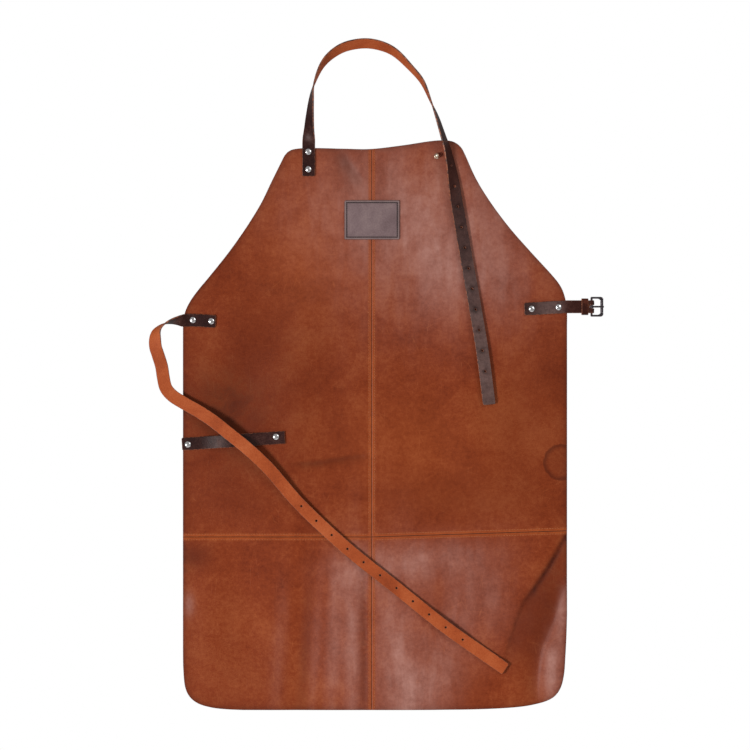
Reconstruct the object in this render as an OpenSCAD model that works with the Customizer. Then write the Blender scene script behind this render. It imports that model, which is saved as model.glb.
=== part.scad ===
// Leather welding apron: four sewn panels, a neck strap that buttons on a ball stud,
// a waist strap with a roller buckle, and a tool loop.
// The apron hangs in the XZ plane with its outer face towards -Y.
// The origin is the middle of the bottom hem, on the back face.

/* [Apron body] */
// Width of the apron below the arms
body_w = 600; // [560:10:640]
// Height of the bib's top edge above the hem
bib_h = 878; // [860:2:900]
// Width of the bib at its top corners
bib_w = 283; // [270:1:300]
// Height at which the armhole curves end and the sides run straight
side_h = 600; // [580:5:605]
// Size of the two hem corners relative to the pattern
hem_corner_scale = 1; // [0.5:0.05:1.2]
// Thickness of the panel leather
hide_t = 2; // [1.4:0.1:2]
// Height of the horizontal seam where it meets the vertical seam
cross_seam_h = 270.5; // [240:0.5:300]
// How far the horizontal seam rises towards the right edge
cross_seam_rise = 9.5; // [0:0.5:15]
// Distance of the vertical seam from the middle
centre_seam_x = -5; // [-10:0.5:-1]
// Width of each seam allowance folded flat behind the panels
allowance_w = 9; // [6:0.5:12]
// Distance of each topstitch row from its seam
topstitch_gap = 4.4; // [2.5:0.1:6]
// Diameter of the sewing thread
thread_d = 0.8; // [0.5:0.1:1]

/* [Label patch] */
// Width of the patch
label_w = 86; // [60:1:100]
// Height of the patch
label_h = 61; // [40:1:70]
// Thickness of the patch
label_t = 1.6; // [1:0.1:2]
// Distance of the stitch line from the patch's edge
label_inset = 3.5; // [2:0.5:6]
// Distance of the patch's middle below the bib's top edge
label_drop = 112.4; // [80:0.2:140]

/* [Straps] */
// Width of every strap
strap_w = 20; // [18:0.5:20]
// Thickness of every strap
strap_t = 2.5; // [2:0.1:2.5]
// Radius of the punched holes
punch_r = 1.5; // [1:0.1:2.5]
// Number of holes in the neck strap and in the waist strap
punch_count = 11; // [5:1:11]
// Distance between holes of the neck strap
neck_punch_pitch = 32.5; // [25:0.5:33]
// Distance between holes of the waist strap
waist_punch_pitch = 32.7; // [25:0.1:35]

/* [Rivets and stud] */
// Radius of a rivet's domed front cap
cap_r = 5; // [4:0.1:5.5]
// Height of a rivet's domed front cap
cap_h = 2.2; // [1.8:0.1:2.6]
// Radius of a rivet's flat back cap
back_cap_r = 4.5; // [3.5:0.1:4.8]
// Radius of a rivet's post
post_r = 1.25; // [1:0.05:1.3]
// Radius of the stud's ball
ball_r = 4; // [3:0.1:4.5]

/* [Roller buckle] */
// Overall height of the buckle frame
buckle_h = 31; // [30:0.5:33]
// Radius of the bar that the strap folds round
bar_r = 1.7; // [1.5:0.05:1.7]
// Radius of the bar that carries the roller
outer_bar_r = 1.3; // [1.1:0.05:1.3]
// Outer radius of the roller
roller_r = 2.35; // [2.1:0.05:2.35]

/* [Hidden] */

hide_colour = [0.56, 0.29, 0.17];
thread_colour = [0.72, 0.40, 0.20];
dark_strap_colour = [0.26, 0.16, 0.14];
tan_strap_colour = [0.64, 0.32, 0.17];
label_colour = [0.36, 0.29, 0.29];
steel_colour = [0.75, 0.75, 0.76];
buckle_colour = [0.42, 0.40, 0.40];
stud_colour = [0.78, 0.72, 0.55];

// Clearance between pieces that lie on each other, and between sewn panel edges
skin_gap = 0.05;
seam_gap = 0.1;
// Running clearance between a pin and its bore
run_gap = 0.05;
allowance_t = 1.5;
// The allowances stop short of the hem and of the outer edges
allowance_trim = 12;

// Shares of the step from bib to body (0 to 1) and of the height from side to bib (1 to 0)
left_armhole = [[0, 1], [0.118, 0.858], [0.233, 0.717], [0.38, 0.575], [0.547, 0.434],
    [0.735, 0.293], [0.833, 0.223], [0.922, 0.151], [0.98, 0.08], [1, 0]];
right_armhole = [[0, 1], [0.109, 0.858], [0.257, 0.717], [0.436, 0.575], [0.644, 0.434],
    [0.86, 0.293], [0.945, 0.223], [0.986, 0.151], [1, 0.08], [1, 0]];
// Shares of the bib's half width, and heights relative to bib_h, along the top edge
top_edge = [[-1, -12], [-0.95, -5], [-0.87, -1.3], [-0.7, 0], [-0.35, -1], [-0.05, -1.5],
    [0.3, 4], [0.6, 10.5], [0.76, 12], [0.87, 9.5], [0.95, 1], [1, -12]];
shoulder_h = bib_h - 12;
// Distances in from the side, and heights above the hem, round the two hem corners
left_corner = [[0, 110], [0, 90], [0.5, 65], [3, 38], [10, 21.5], [23.4, 10.5], [43, 4.3],
    [66, 1.3], [95, 0]];
right_corner = [[0, 150], [1, 115], [2.5, 85], [4.5, 57], [9.5, 36], [19, 22], [33, 14],
    [53, 8.3], [76, 4.8], [110, 2.4], [155, 0.9], [210, 0]];

// Strap surfaces on the front of the apron
strap_back_y = -hide_t - skin_gap;
strap_mid_y = strap_back_y - strap_t / 2;
strap_front_y = strap_back_y - strap_t;

// Neck strap: x, y, z of the centre line, and the roll of the strap about it.
// Roll 0 shows the grain side to the front, 90 shows an edge and 180 shows the flesh side.
neck_x = -103.5;
neck_anchor_low = bib_h - 44.5;
neck_anchor_high = bib_h + 2.5;
neck_loop_path = [
    [neck_x, strap_mid_y, bib_h + 8, 3],
    [neck_x + 0.6, -6.9, bib_h + 25, 36],
    [neck_x + 1.8, -9.1, bib_h + 47, 53],
    [neck_x + 4.3, -10.5, bib_h + 75, 70],
    [-95.5, -10.8, bib_h + 97, 88],
    [-84.4, -10.3, bib_h + 125, 104],
    [-69.2, -9.6, bib_h + 143.5, 118],
    [-46.9, -9.1, bib_h + 157, 127],
    [-17.2, -8.9, bib_h + 162.5, 130],
    [9.4, -8.9, bib_h + 158.6, 127],
    [32, -9.4, bib_h + 147.5, 119],
    [55.5, -10, bib_h + 124.5, 109],
    [74, -10.6, bib_h + 102, 103],
    [87, -11.2, bib_h + 72, 90],
    [96.5, -11.8, bib_h + 48, 76],
    [107.2, -12.2, bib_h + 14.5, 66]
];
neck_tail_path = [
    [112.6, -12.5, bib_h - 2, 59],
    [115.2, -12, bib_h - 14, 53],
    [117.9, -11.6, bib_h - 26.4, 47],
    [123.3, -9.1, bib_h - 57.5, 28],
    [128.4, -7.4, bib_h - 90.5, 16],
    [139.7, -6.3, bib_h - 155.3, 10],
    [156.7, -6, bib_h - 252, 8],
    [167.2, -6, bib_h - 315.5, 8],
    [176.6, -6, bib_h - 387, 8],
    [178.2, -6, bib_h - 401, 8]
];
neck_first_punch = 27;
tip_cut = 2.2;

// Waist strap: the riveted end lies flat on the apron, then turns over beyond the edge
waist_anchor_lead = [[-248.4, strap_mid_y, 607, 0]];
waist_anchor_path = [
    [-290.5, strap_mid_y, 609.3, 0],
    [-297, -6, 608.6, 14],
    [-301, -7.7, 608.3, 27],
    [-307.3, -8.8, 608.2, 50],
    [-316.4, -10.2, 607.1, 71],
    [-326.9, -11.6, 603.7, 92],
    [-335.5, -12.5, 597.5, 110],
    [-341, -13, 588.5, 138],
    [-342.3, -13.2, 579, 160]
];
waist_strap_path = [
    [-341.5, -13.2, 566, 170],
    [-338.3, -12.8, 556, 174],
    [-332.5, -12.2, 537, 178],
    [-329.7, -11.6, 519, 180],
    [-325.6, -10.9, 502.8, 180],
    [-315, -10.3, 490.6, 180],
    [-298.4, -9.8, 480, 180],
    [-274.2, -11.2, 466.2, 180],
    [-251, -14, 451, 180],
    [-229, -16.2, 433.6, 180],
    [-197, -16.2, 407.6, 180],
    [-163.6, -12, 375.3, 180],
    [-114.2, -7.6, 318.3, 180],
    [-42.3, -6, 251.6, 180],
    [35.3, -6, 189.7, 180],
    [110.8, -6, 129.5, 180],
    [190, -6, 74, 180],
    [203.8, -6, 64.5, 180]
];
waist_first_punch = 348;

// Tool loop: a flat share at each riveted end, and slack in the middle
tool_loop_slack = 8;
tool_loop_left = [-301.5, 415.4];
tool_loop_right = [-140.6, 426.2];
tool_loop_flat = 0.17;

// Rivet places, as x and z
neck_rivets = [[neck_x - 0.5, bib_h - 6.1], [neck_x - 0.5, bib_h - 33.4]];
waist_rivets = [[-284.4, 609.2], [-255.5, 607.4]];
tool_loop_rivets = [[-292.2, 415], [-154.7, 427]];
buckle_rivets = [[244.5, 626.8], [286.4, 629.2]];
stud_place = [96.9, bib_h - 12.4];
label_place = [-4.7, bib_h - label_drop];

// Buckle strap and buckle, which sit outside the right edge
buckle_z = 630;
buckle_anchor_x = 233;
buckle_back_layer_x = 268;
buckle_flex_x = body_w / 2 + 4;
bar_x = body_w / 2 + 38.2;
bar_y = -hide_t + skin_gap / 2;
outer_bar_x = bar_x + 16;
arm_h = 3;
plate_t = 2.8;
slot_half = 2.6;
fold_t = 2.3;

function xyz(p) = [p.x, p.y, p[2]];
function unit(v) = v / norm(v);

// Point at position u on the smooth curve through the control points
function curve_point(path, u) =
    let (
        i = min(floor(u), len(path) - 2),
        f = u - i,
        a = path[max(i - 1, 0)],
        b = path[i],
        c = path[i + 1],
        d = path[min(i + 2, len(path) - 1)]
    )
    b + ((c - a) * f + (2 * a - 5 * b + 4 * c - d) * f * f + (3 * b - a - 3 * c + d) * f * f * f) / 2;

function curve(path, steps) =
    [for (i = [0 : (len(path) - 1) * steps]) curve_point(path, i / steps)];

// Directions of a strap at point i: along it, across it and out of its grain side
function strap_along(pts, i) =
    unit(xyz(pts[min(i + 1, len(pts) - 1)]) - xyz(pts[max(i - 1, 0)]));
function strap_across(pts, i) =
    let (
        along = strap_along(pts, i),
        side = unit([-along.z, 0, along.x]),
        roll = pts[i][3],
        tilted = side * cos(roll) + [0, sin(roll), 0]
    )
    unit(tilted - along * (tilted * along));
function strap_out(pts, i) = cross(strap_along(pts, i), strap_across(pts, i));

function distance_to(pts, i) =
    i == 0 ? 0 : distance_to(pts, i - 1) + norm(xyz(pts[i]) - xyz(pts[i - 1]));
function first_beyond(distances, s) = min([for (i = [0 : len(distances) - 1]) if (distances[i] >= s) i]);

// A flat strap swept along its centre line, which a straight lead may start.
// Its tip narrows by tip_cut at each side over tip_l.
module swept_strap(path, steps = 5, lead = [], tip_l = 0) {
    pts = concat(lead, curve(path, steps));
    last = len(pts) - 1;
    corners = [for (i = [0 : last])
        let (
            from_tip = norm(xyz(pts[last]) - xyz(pts[i])),
            narrowing = tip_cut * max(0, 1 - from_tip / max(tip_l, 0.01)),
            half_across = strap_across(pts, i) * (strap_w / 2 - narrowing),
            half_out = strap_out(pts, i) * strap_t / 2,
            centre = xyz(pts[i])
        )
        each [
            centre - half_across - half_out,
            centre + half_across - half_out,
            centre + half_across + half_out,
            centre - half_across + half_out
        ]
    ];
    sides = [for (i = [0 : last - 1], k = [0 : 3])
        let (a = 4 * i + k, b = 4 * i + (k + 1) % 4)
        each [[a, b, b + 4], [a, b + 4, a + 4]]
    ];
    first_cap = [[0, 3, 2], [0, 2, 1]];
    last_cap = [[4 * last, 4 * last + 1, 4 * last + 2], [4 * last, 4 * last + 2, 4 * last + 3]];
    polyhedron(points = corners, faces = concat(sides, first_cap, last_cap));
}

// Round holes through a strap, at equal distances along its centre line
module punched(path, first, pitch, steps = 5) {
    pts = curve(path, steps);
    distances = [for (i = [0 : len(pts) - 1]) distance_to(pts, i)];
    difference() {
        children();
        for (k = [0 : punch_count - 1]) {
            s = first + k * pitch;
            i = first_beyond(distances, s);
            share = (s - distances[i - 1]) / (distances[i] - distances[i - 1]);
            centre = xyz(pts[i - 1]) * (1 - share) + xyz(pts[i]) * share;
            along = strap_along(pts, i);
            across = strap_across(pts, i);
            out = strap_out(pts, i);
            multmatrix([
                [across.x, along.x, -out.x, centre.x],
                [across.y, along.y, -out.y, centre.y],
                [across.z, along.z, -out.z, centre.z]
            ])
                cylinder(r = punch_r, h = 3 * strap_t, center = true, $fn = 24);
        }
    }
}

// Turns a flat drawing of x and z into a sheet whose front lies at y_front
module sheet(y_front, thickness) {
    translate([0, y_front + thickness, 0])
        rotate([90, 0, 0])
            linear_extrude(thickness)
                children();
}

// A round bar, post or hole along Y, from y_from to y_to
module along_y(place, r, y_from, y_to) {
    translate([place.x, y_to, place.y])
        rotate([90, 0, 0])
            cylinder(r = r, h = y_to - y_from, $fn = 48);
}

module post_holes(places) {
    for (place = places)
        along_y(place, post_r + 0.25, -20, 20);
}

// Outline of the whole apron
module apron_outline() {
    half = body_w / 2;
    step_left = [for (p = left_armhole) [-bib_w / 2 - p.x * (half - bib_w / 2),
        side_h + p.y * (shoulder_h - side_h)]];
    step_right = [for (p = right_armhole) [bib_w / 2 + p.x * (half - bib_w / 2),
        side_h + p.y * (shoulder_h - side_h)]];
    top = [for (p = top_edge) [p.x * bib_w / 2, bib_h + p.y]];
    hem_left = [for (p = left_corner) hem_corner_scale * p + [-half, 0]];
    hem_right = [for (p = right_corner) [half - hem_corner_scale * p.x, hem_corner_scale * p.y]];
    left_side = curve(step_left, 3);
    right_side = curve(step_right, 3);
    top_side = curve(top, 3);
    left_hem = curve(hem_left, 3);
    right_hem = curve(hem_right, 3);
    // The top edge starts and ends on the shoulders, where the side curves start too
    polygon(concat(
        left_hem,
        [for (i = [len(right_hem) - 1 : -1 : 0]) right_hem[i]],
        [for (i = [len(right_side) - 1 : -1 : 1]) right_side[i]],
        [for (i = [len(top_side) - 1 : -1 : 1]) top_side[i]],
        left_side
    ));
}

// Height of the horizontal seam at x
function seam_z(x) = cross_seam_h + max(0, x - centre_seam_x) / (body_w / 2) * cross_seam_rise;

// One quarter of the plane around the seams' crossing, kept gap away from the seams
module quarter(side, up, gap) {
    far = 2 * body_w;
    x_near = centre_seam_x + side * gap;
    x_far = side * far;
    z_far = cross_seam_h + up * far;
    polygon([[x_near, seam_z(x_near) + up * gap], [x_far, seam_z(x_far) + up * gap],
        [x_far, z_far], [x_near, z_far]]);
}

// One sewn panel. side is -1 for left and 1 for right; up is 1 for upper and -1 for lower
module panel(side, up) {
    sheet(-hide_t, hide_t)
        intersection() {
            apron_outline();
            quarter(side, up, seam_gap);
        }
    sheet(-skin_gap, allowance_t + skin_gap)
        intersection() {
            offset(delta = -allowance_trim) apron_outline();
            difference() {
                quarter(side, up, seam_gap);
                quarter(side, up, allowance_w);
            }
        }
}

module upper_left_panel() {
    color(hide_colour)
        difference() {
            panel(-1, 1);
            post_holes(concat(neck_rivets, waist_rivets, tool_loop_rivets));
        }
}

module upper_right_panel() {
    color(hide_colour)
        difference() {
            panel(1, 1);
            post_holes(concat(buckle_rivets, [stud_place]));
        }
}

module lower_left_panel() {
    color(hide_colour)
        panel(-1, -1);
}

module lower_right_panel() {
    color(hide_colour)
        panel(1, -1);
}

// A straight thread on the surface at y, between two points of x and z
module thread_line(from, to, y) {
    run = to - from;
    translate([from.x, y - thread_d / 2 - skin_gap, from.y])
        rotate([0, atan2(run.x, run.y), 0])
            cylinder(d = thread_d, h = norm(run), $fn = 16);
}

module centre_seam_thread() {
    color(thread_colour)
        for (side = [-1, 1]) {
            x = centre_seam_x + side * topstitch_gap;
            thread_line([x, 3], [x, cross_seam_h - 2 * topstitch_gap], -hide_t);
            thread_line([x, cross_seam_h + 2 * topstitch_gap], [x, bib_h - 6], -hide_t);
        }
}

module cross_seam_thread() {
    left = -body_w / 2 + 3;
    right = body_w / 2 - 3;
    color(thread_colour)
        for (up = [-1, 1]) {
            thread_line([left, cross_seam_h + up * topstitch_gap],
                [centre_seam_x - 2, cross_seam_h + up * topstitch_gap], -hide_t);
            thread_line([centre_seam_x + 2, cross_seam_h + up * topstitch_gap],
                [right, seam_z(right) + up * topstitch_gap], -hide_t);
        }
}

module label_patch() {
    color(label_colour)
        sheet(-hide_t - skin_gap - thread_d - label_t, label_t)
            translate(label_place)
                offset(r = 2, $fn = 32)
                    square([label_w - 4, label_h - 4], center = true);
}

module label_thread() {
    half_w = label_w / 2 - label_inset;
    half_h = label_h / 2 - label_inset;
    y = -hide_t - skin_gap - thread_d - label_t;
    color(label_colour)
        for (side = [-1, 1]) {
            thread_line(label_place + [thread_d - half_w, side * half_h],
                label_place + [half_w - thread_d, side * half_h], y);
            thread_line(label_place + [side * half_w, -half_h], label_place + [side * half_w, half_h], y);
        }
}

// Domed front caps, each with a socket that the post is pressed into
module rivet_caps(places, y_strap) {
    dome_r = (cap_r * cap_r + cap_h * cap_h) / (2 * cap_h);
    color(steel_colour)
        for (place = places)
            translate([place.x, y_strap - skin_gap, place.y])
                rotate([90, 0, 0])
                    difference() {
                        intersection() {
                            translate([0, 0, cap_h - dome_r])
                                sphere(r = dome_r, $fn = 96);
                            cylinder(r = cap_r, h = cap_h, $fn = 64);
                        }
                        translate([0, 0, -1])
                            cylinder(r = post_r + 0.05, h = 2, $fn = 48);
                    }
}

// Flat back caps with the posts that reach forward into the front caps
module rivet_posts(places, y_strap, y_behind) {
    color(steel_colour)
        for (i = [0 : len(places) - 1]) {
            along_y(places[i], back_cap_r, y_behind[i] + skin_gap, y_behind[i] + 1.2);
            along_y(places[i], post_r, y_strap - skin_gap - 0.8, y_behind[i] + 1);
        }
}

module neck_strap_anchor() {
    color(dark_strap_colour)
        difference() {
            sheet(strap_front_y, strap_t)
                polygon([
                    [neck_x - strap_w / 2, neck_anchor_low + 2],
                    [neck_x - strap_w / 2 + 2, neck_anchor_low],
                    [neck_x + strap_w / 2 - 2, neck_anchor_low],
                    [neck_x + strap_w / 2, neck_anchor_low + 2],
                    [neck_x + strap_w / 2, neck_anchor_high],
                    [neck_x - strap_w / 2, neck_anchor_high]
                ]);
            post_holes(neck_rivets);
        }
}

module neck_strap_loop() {
    color(dark_strap_colour)
        swept_strap(neck_loop_path);
}

module neck_strap_tail() {
    color(dark_strap_colour)
        punched(neck_tail_path, neck_first_punch, neck_punch_pitch)
            swept_strap(neck_tail_path, tip_l = 3);
}

module neck_rivet_caps() {
    rivet_caps(neck_rivets, strap_front_y);
}

module neck_rivet_posts() {
    rivet_posts(neck_rivets, strap_front_y, [0, 0]);
}

// Base flange, neck and ball, with a threaded hole from behind
module strap_stud() {
    base_r = ball_r + 0.6;
    neck_r = ball_r / 2;
    flange_t = 1;
    ball_centre = flange_t + 1.6 + ball_r * 0.85;
    color(stud_colour)
        translate([stud_place.x, strap_back_y, stud_place.y])
            rotate([90, 0, 0])
                difference() {
                    union() {
                        cylinder(r = base_r, h = flange_t, $fn = 64);
                        cylinder(r = neck_r, h = ball_centre, $fn = 48);
                        translate([0, 0, ball_centre])
                            sphere(r = ball_r, $fn = 96);
                    }
                    translate([0, 0, -1])
                        cylinder(r = post_r + 0.05, h = 6, $fn = 48);
                }
}

module stud_screw() {
    color(stud_colour)
        difference() {
            union() {
                along_y(stud_place, back_cap_r, skin_gap, 1.2);
                along_y(stud_place, post_r, -hide_t - 4.5, 0.6);
            }
            translate([stud_place.x - 0.4, 0.7, stud_place.y - 3.4])
                cube([0.8, 1, 6.8]);
        }
}

module waist_strap_anchor() {
    color(dark_strap_colour)
        difference() {
            swept_strap(waist_anchor_path, steps = 4, lead = waist_anchor_lead);
            post_holes(waist_rivets);
        }
}

module waist_strap() {
    color(tan_strap_colour)
        punched(waist_strap_path, waist_first_punch, waist_punch_pitch)
            swept_strap(waist_strap_path, tip_l = 3);
}

module waist_rivet_caps() {
    rivet_caps(waist_rivets, strap_front_y);
}

module waist_rivet_posts() {
    rivet_posts(waist_rivets, strap_front_y, [0, 0]);
}

module tool_loop() {
    run = tool_loop_right - tool_loop_left;
    stations = 24;
    shares = [0, for (k = [0 : stations]) tool_loop_flat + (1 - 2 * tool_loop_flat) * k / stations, 1];
    path = [for (k = [0 : len(shares) - 1])
        let (
            place = tool_loop_left + run * shares[k],
            slack_share = min(max((k - 1) / stations, 0), 1)
        )
        [place.x, strap_mid_y - tool_loop_slack * pow(sin(180 * slack_share), 2), place.y, 0]
    ];
    color(dark_strap_colour)
        difference() {
            swept_strap(path, steps = 1);
            post_holes(tool_loop_rivets);
        }
}

module tool_loop_rivet_caps() {
    rivet_caps(tool_loop_rivets, strap_front_y);
}

module tool_loop_rivet_posts() {
    rivet_posts(tool_loop_rivets, strap_front_y, [0, 0]);
}

// One strap layer from x_from to x_to, whose centre line rises with the strap's slope
module anchor_layer(x_from, x_to, y_front) {
    slope = (buckle_rivets[1].y - buckle_rivets[0].y) / (buckle_rivets[1].x - buckle_rivets[0].x);
    z_from = buckle_rivets[0].y + slope * (x_from - buckle_rivets[0].x);
    z_to = buckle_rivets[0].y + slope * (x_to - buckle_rivets[0].x);
    half = strap_w / 2;
    sheet(y_front, strap_t)
        polygon([
            [x_from, z_from - half], [x_to, z_to - half], [x_to, z_to + half], [x_from, z_from + half]
        ]);
}

module buckle_strap_anchor() {
    color(dark_strap_colour)
        difference() {
            union() {
                anchor_layer(buckle_anchor_x, buckle_flex_x - 1.5, strap_front_y);
                anchor_layer(buckle_back_layer_x, buckle_flex_x - 1.5, skin_gap);
            }
            post_holes(buckle_rivets);
        }
}

// Section of the doubled end, in x and y: two layers that part to fold round the bar
module fold_section() {
    x_start = buckle_flex_x + 2;
    x_part = bar_x - 4.7;
    bore_r = bar_r + run_gap;
    fold_r = bore_r + fold_t;
    outside = skin_gap / 2 + strap_t;
    inside = skin_gap / 2;
    translate([0, bar_y])
        difference() {
            union() {
                polygon([
                    [x_start, -outside], [x_part, -outside], [bar_x, 0.2 - fold_r],
                    [bar_x, fold_r - 0.2], [x_part, outside], [x_start, outside]
                ]);
                translate([bar_x, 0])
                    circle(r = fold_r, $fn = 72);
            }
            translate([bar_x, 0])
                circle(r = bore_r, $fn = 72);
            polygon([
                [x_start - 1, -inside], [x_part, -inside], [bar_x, 0.5 - bore_r],
                [bar_x, bore_r - 0.5], [x_part, inside], [x_start - 1, inside]
            ]);
        }
}

module buckle_strap_end() {
    color(dark_strap_colour)
        difference() {
            translate([0, 0, buckle_z - strap_w / 2])
                linear_extrude(strap_w)
                    fold_section();
            translate([bar_x - 8, bar_y - 10, buckle_z - slot_half])
                cube([20, 20, 2 * slot_half]);
        }
}

module buckle_rivet_caps() {
    rivet_caps(buckle_rivets, strap_front_y);
}

module buckle_rivet_posts() {
    rivet_posts(buckle_rivets, strap_front_y, [0, skin_gap + strap_t]);
}

module buckle_keeper() {
    keeper_l = 10.5;
    keeper_t = 1.8;
    room = 0.3;
    x_start = bar_x - 4.7 - 0.5 - keeper_l;
    inside_y = 2 * strap_t + skin_gap + 2 * room;
    inside_z = strap_w + 2 * room;
    color(dark_strap_colour)
        translate([x_start, bar_y, buckle_z])
            rotate([90, 0, 90])
                linear_extrude(keeper_l)
                    difference() {
                        square([inside_y + 2 * keeper_t, inside_z + 2 * keeper_t], center = true);
                        square([inside_y, inside_z], center = true);
                    }
}

// Two side arms with bevelled outer corners, joined by the strap bar and the roller bar
module buckle_frame() {
    half = buckle_h / 2;
    x_end = outer_bar_x + 2.4;
    inner = half - arm_h;
    roller_half = 9.8;
    color(buckle_colour) {
        sheet(bar_y - plate_t / 2, plate_t)
            translate([0, buckle_z])
                difference() {
                    polygon([
                        [bar_x - 1.5, -half], [x_end - 3.2, -half], [x_end, -half + 3.4],
                        [x_end, half - 3.4], [x_end - 3.2, half], [bar_x - 1.5, half]
                    ]);
                    polygon([
                        [bar_x - 5, -inner], [outer_bar_x - 3.8, -inner],
                        [outer_bar_x - 2.5, -roller_half], [x_end + 1, -roller_half],
                        [x_end + 1, roller_half], [outer_bar_x - 2.5, roller_half],
                        [outer_bar_x - 3.8, inner], [bar_x - 5, inner]
                    ]);
                }
        translate([bar_x, bar_y, buckle_z - inner - 1])
            cylinder(r = bar_r, h = 2 * inner + 2, $fn = 48);
        translate([outer_bar_x, bar_y, buckle_z - roller_half - 1])
            cylinder(r = outer_bar_r, h = 2 * roller_half + 2, $fn = 48);
    }
}

// Prong: an eye round the strap bar and a blade that rests on the roller
module buckle_prong() {
    eye_r = bar_r + run_gap + 1.25;
    blade_w = 2.8;
    roller_top = -roller_r - 0.1;
    color(buckle_colour)
        translate([bar_x, bar_y, buckle_z])
            difference() {
                union() {
                    translate([0, 0, 0.3 - slot_half])
                        cylinder(r = eye_r, h = 2 * slot_half - 0.6, $fn = 64);
                    translate([0, 0, -blade_w / 2])
                        linear_extrude(blade_w)
                            polygon([
                                [0, -eye_r], [7, -eye_r - 0.65], [12.8, roller_top - 2],
                                [17, roller_top - 1.6], [19, roller_top - 0.7], [18.6, roller_top],
                                [13.3, roller_top], [7, -eye_r + 1.2], [2, -eye_r + 1.3]
                            ]);
                }
                cylinder(r = bar_r + run_gap, h = 20, center = true, $fn = 48);
            }
}

module buckle_roller() {
    half = 9.5;
    color(buckle_colour)
        translate([outer_bar_x, bar_y, buckle_z - half])
            difference() {
                cylinder(r = roller_r, h = 2 * half, $fn = 64);
                translate([0, 0, -1])
                    cylinder(r = outer_bar_r + run_gap, h = 2 * half + 2, $fn = 48);
            }
}

upper_left_panel();
upper_right_panel();
lower_left_panel();
lower_right_panel();
centre_seam_thread();
cross_seam_thread();
label_patch();
label_thread();
neck_strap_anchor();
neck_strap_loop();
neck_strap_tail();
neck_rivet_caps();
neck_rivet_posts();
strap_stud();
stud_screw();
waist_strap_anchor();
waist_strap();
waist_rivet_caps();
waist_rivet_posts();
tool_loop();
tool_loop_rivet_caps();
tool_loop_rivet_posts();
buckle_strap_anchor();
buckle_strap_end();
buckle_rivet_caps();
buckle_rivet_posts();
buckle_keeper();
buckle_frame();
buckle_prong();
buckle_roller();
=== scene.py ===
"""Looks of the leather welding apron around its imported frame.

Drawings are in millimetres, x across the apron, y away from the viewer and z up, and meshes in metres.
"""

import math

import bpy
import numpy as np
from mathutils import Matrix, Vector
from mathutils.geometry import delaunay_2d_cdt


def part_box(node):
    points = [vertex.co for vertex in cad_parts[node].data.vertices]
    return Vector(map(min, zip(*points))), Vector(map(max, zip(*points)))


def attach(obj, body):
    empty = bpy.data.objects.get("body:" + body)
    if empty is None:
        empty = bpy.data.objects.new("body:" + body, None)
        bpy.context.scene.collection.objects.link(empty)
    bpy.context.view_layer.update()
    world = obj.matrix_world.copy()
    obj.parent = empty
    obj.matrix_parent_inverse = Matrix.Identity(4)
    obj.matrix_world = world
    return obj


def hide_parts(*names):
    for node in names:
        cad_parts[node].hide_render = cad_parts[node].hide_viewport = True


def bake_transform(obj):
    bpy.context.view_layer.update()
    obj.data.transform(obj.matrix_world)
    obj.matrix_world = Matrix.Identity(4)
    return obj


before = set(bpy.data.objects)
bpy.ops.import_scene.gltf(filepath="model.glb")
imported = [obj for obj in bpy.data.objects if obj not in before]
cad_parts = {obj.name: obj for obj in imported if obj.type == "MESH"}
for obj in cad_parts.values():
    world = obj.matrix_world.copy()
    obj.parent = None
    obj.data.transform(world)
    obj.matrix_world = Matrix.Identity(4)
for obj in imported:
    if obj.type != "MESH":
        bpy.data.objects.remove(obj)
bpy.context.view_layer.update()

MM = 0.001

# Mesh: distance of the row inside an outline, least gap between rows, height of an even triangle
RIM_ROW = 1.6
ROW_ROOM = 0.6
TRIANGLE_H = 0.866

# Apron body
BODY_W = 600
BIB_H = 878
BIB_W = 283
SIDE_H = 600
SHOULDER_H = BIB_H - 12
HIDE_T = 2
CROSS_SEAM_H = 270.5
CROSS_SEAM_RISE = 9.5
CENTRE_SEAM_X = -5
ALLOWANCE_W = 9
ALLOWANCE_T = 1.5
ALLOWANCE_TRIM = 12
TOPSTITCH_GAP = 4.4
# How far the stitch rows stop from the other seam, the sides and the hem, and the bib's top
SEAM_BREAK = 1.6 * TOPSTITCH_GAP
SEAM_END = 3
SEAM_TOP_END = 5
SEAM_PITCH = 4.2
SEAM_STITCH_L = 3.5
SEAM_THREAD_T = 0.9
LEFT_ARMHOLE = [(0, 1), (0.118, 0.858), (0.233, 0.717), (0.38, 0.575), (0.547, 0.434),
                (0.735, 0.293), (0.833, 0.223), (0.922, 0.151), (0.98, 0.08), (1, 0)]
RIGHT_ARMHOLE = [(0, 1), (0.109, 0.858), (0.257, 0.717), (0.436, 0.575), (0.644, 0.434),
                 (0.86, 0.293), (0.945, 0.223), (0.986, 0.151), (1, 0.08), (1, 0)]
TOP_EDGE = [(-1, -12), (-0.95, -5), (-0.87, -1.3), (-0.7, 0), (-0.35, -1), (-0.05, -1.5),
            (0.3, 4), (0.6, 10.5), (0.76, 12), (0.87, 9.5), (0.95, 1), (1, -12)]
LEFT_CORNER = [(0, 110), (0, 90), (0.5, 65), (3, 38), (10, 21.5), (23.4, 10.5), (43, 4.3),
               (66, 1.3), (95, 0)]
RIGHT_CORNER = [(0, 150), (1, 115), (2.5, 85), (4.5, 57), (9.5, 36), (19, 22), (33, 14),
                (53, 8.3), (76, 4.8), (110, 2.4), (155, 0.9), (210, 0)]
# A round mark: its middle, its ring, and where it fades outwards and inwards
MARK = (291, 387)
MARK_R = 30.2
MARK_OUTER_R = 32.8
MARK_INNER_R = 22

# Straps
STRAP_W = 20
STRAP_T = 2.5
PUNCH_R = 1.5
TIP_CUT = 2.2
PUNCHES = 11
STRAP_Y = -HIDE_T - 0.05 - STRAP_T / 2
NECK_X = -103.5
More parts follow.
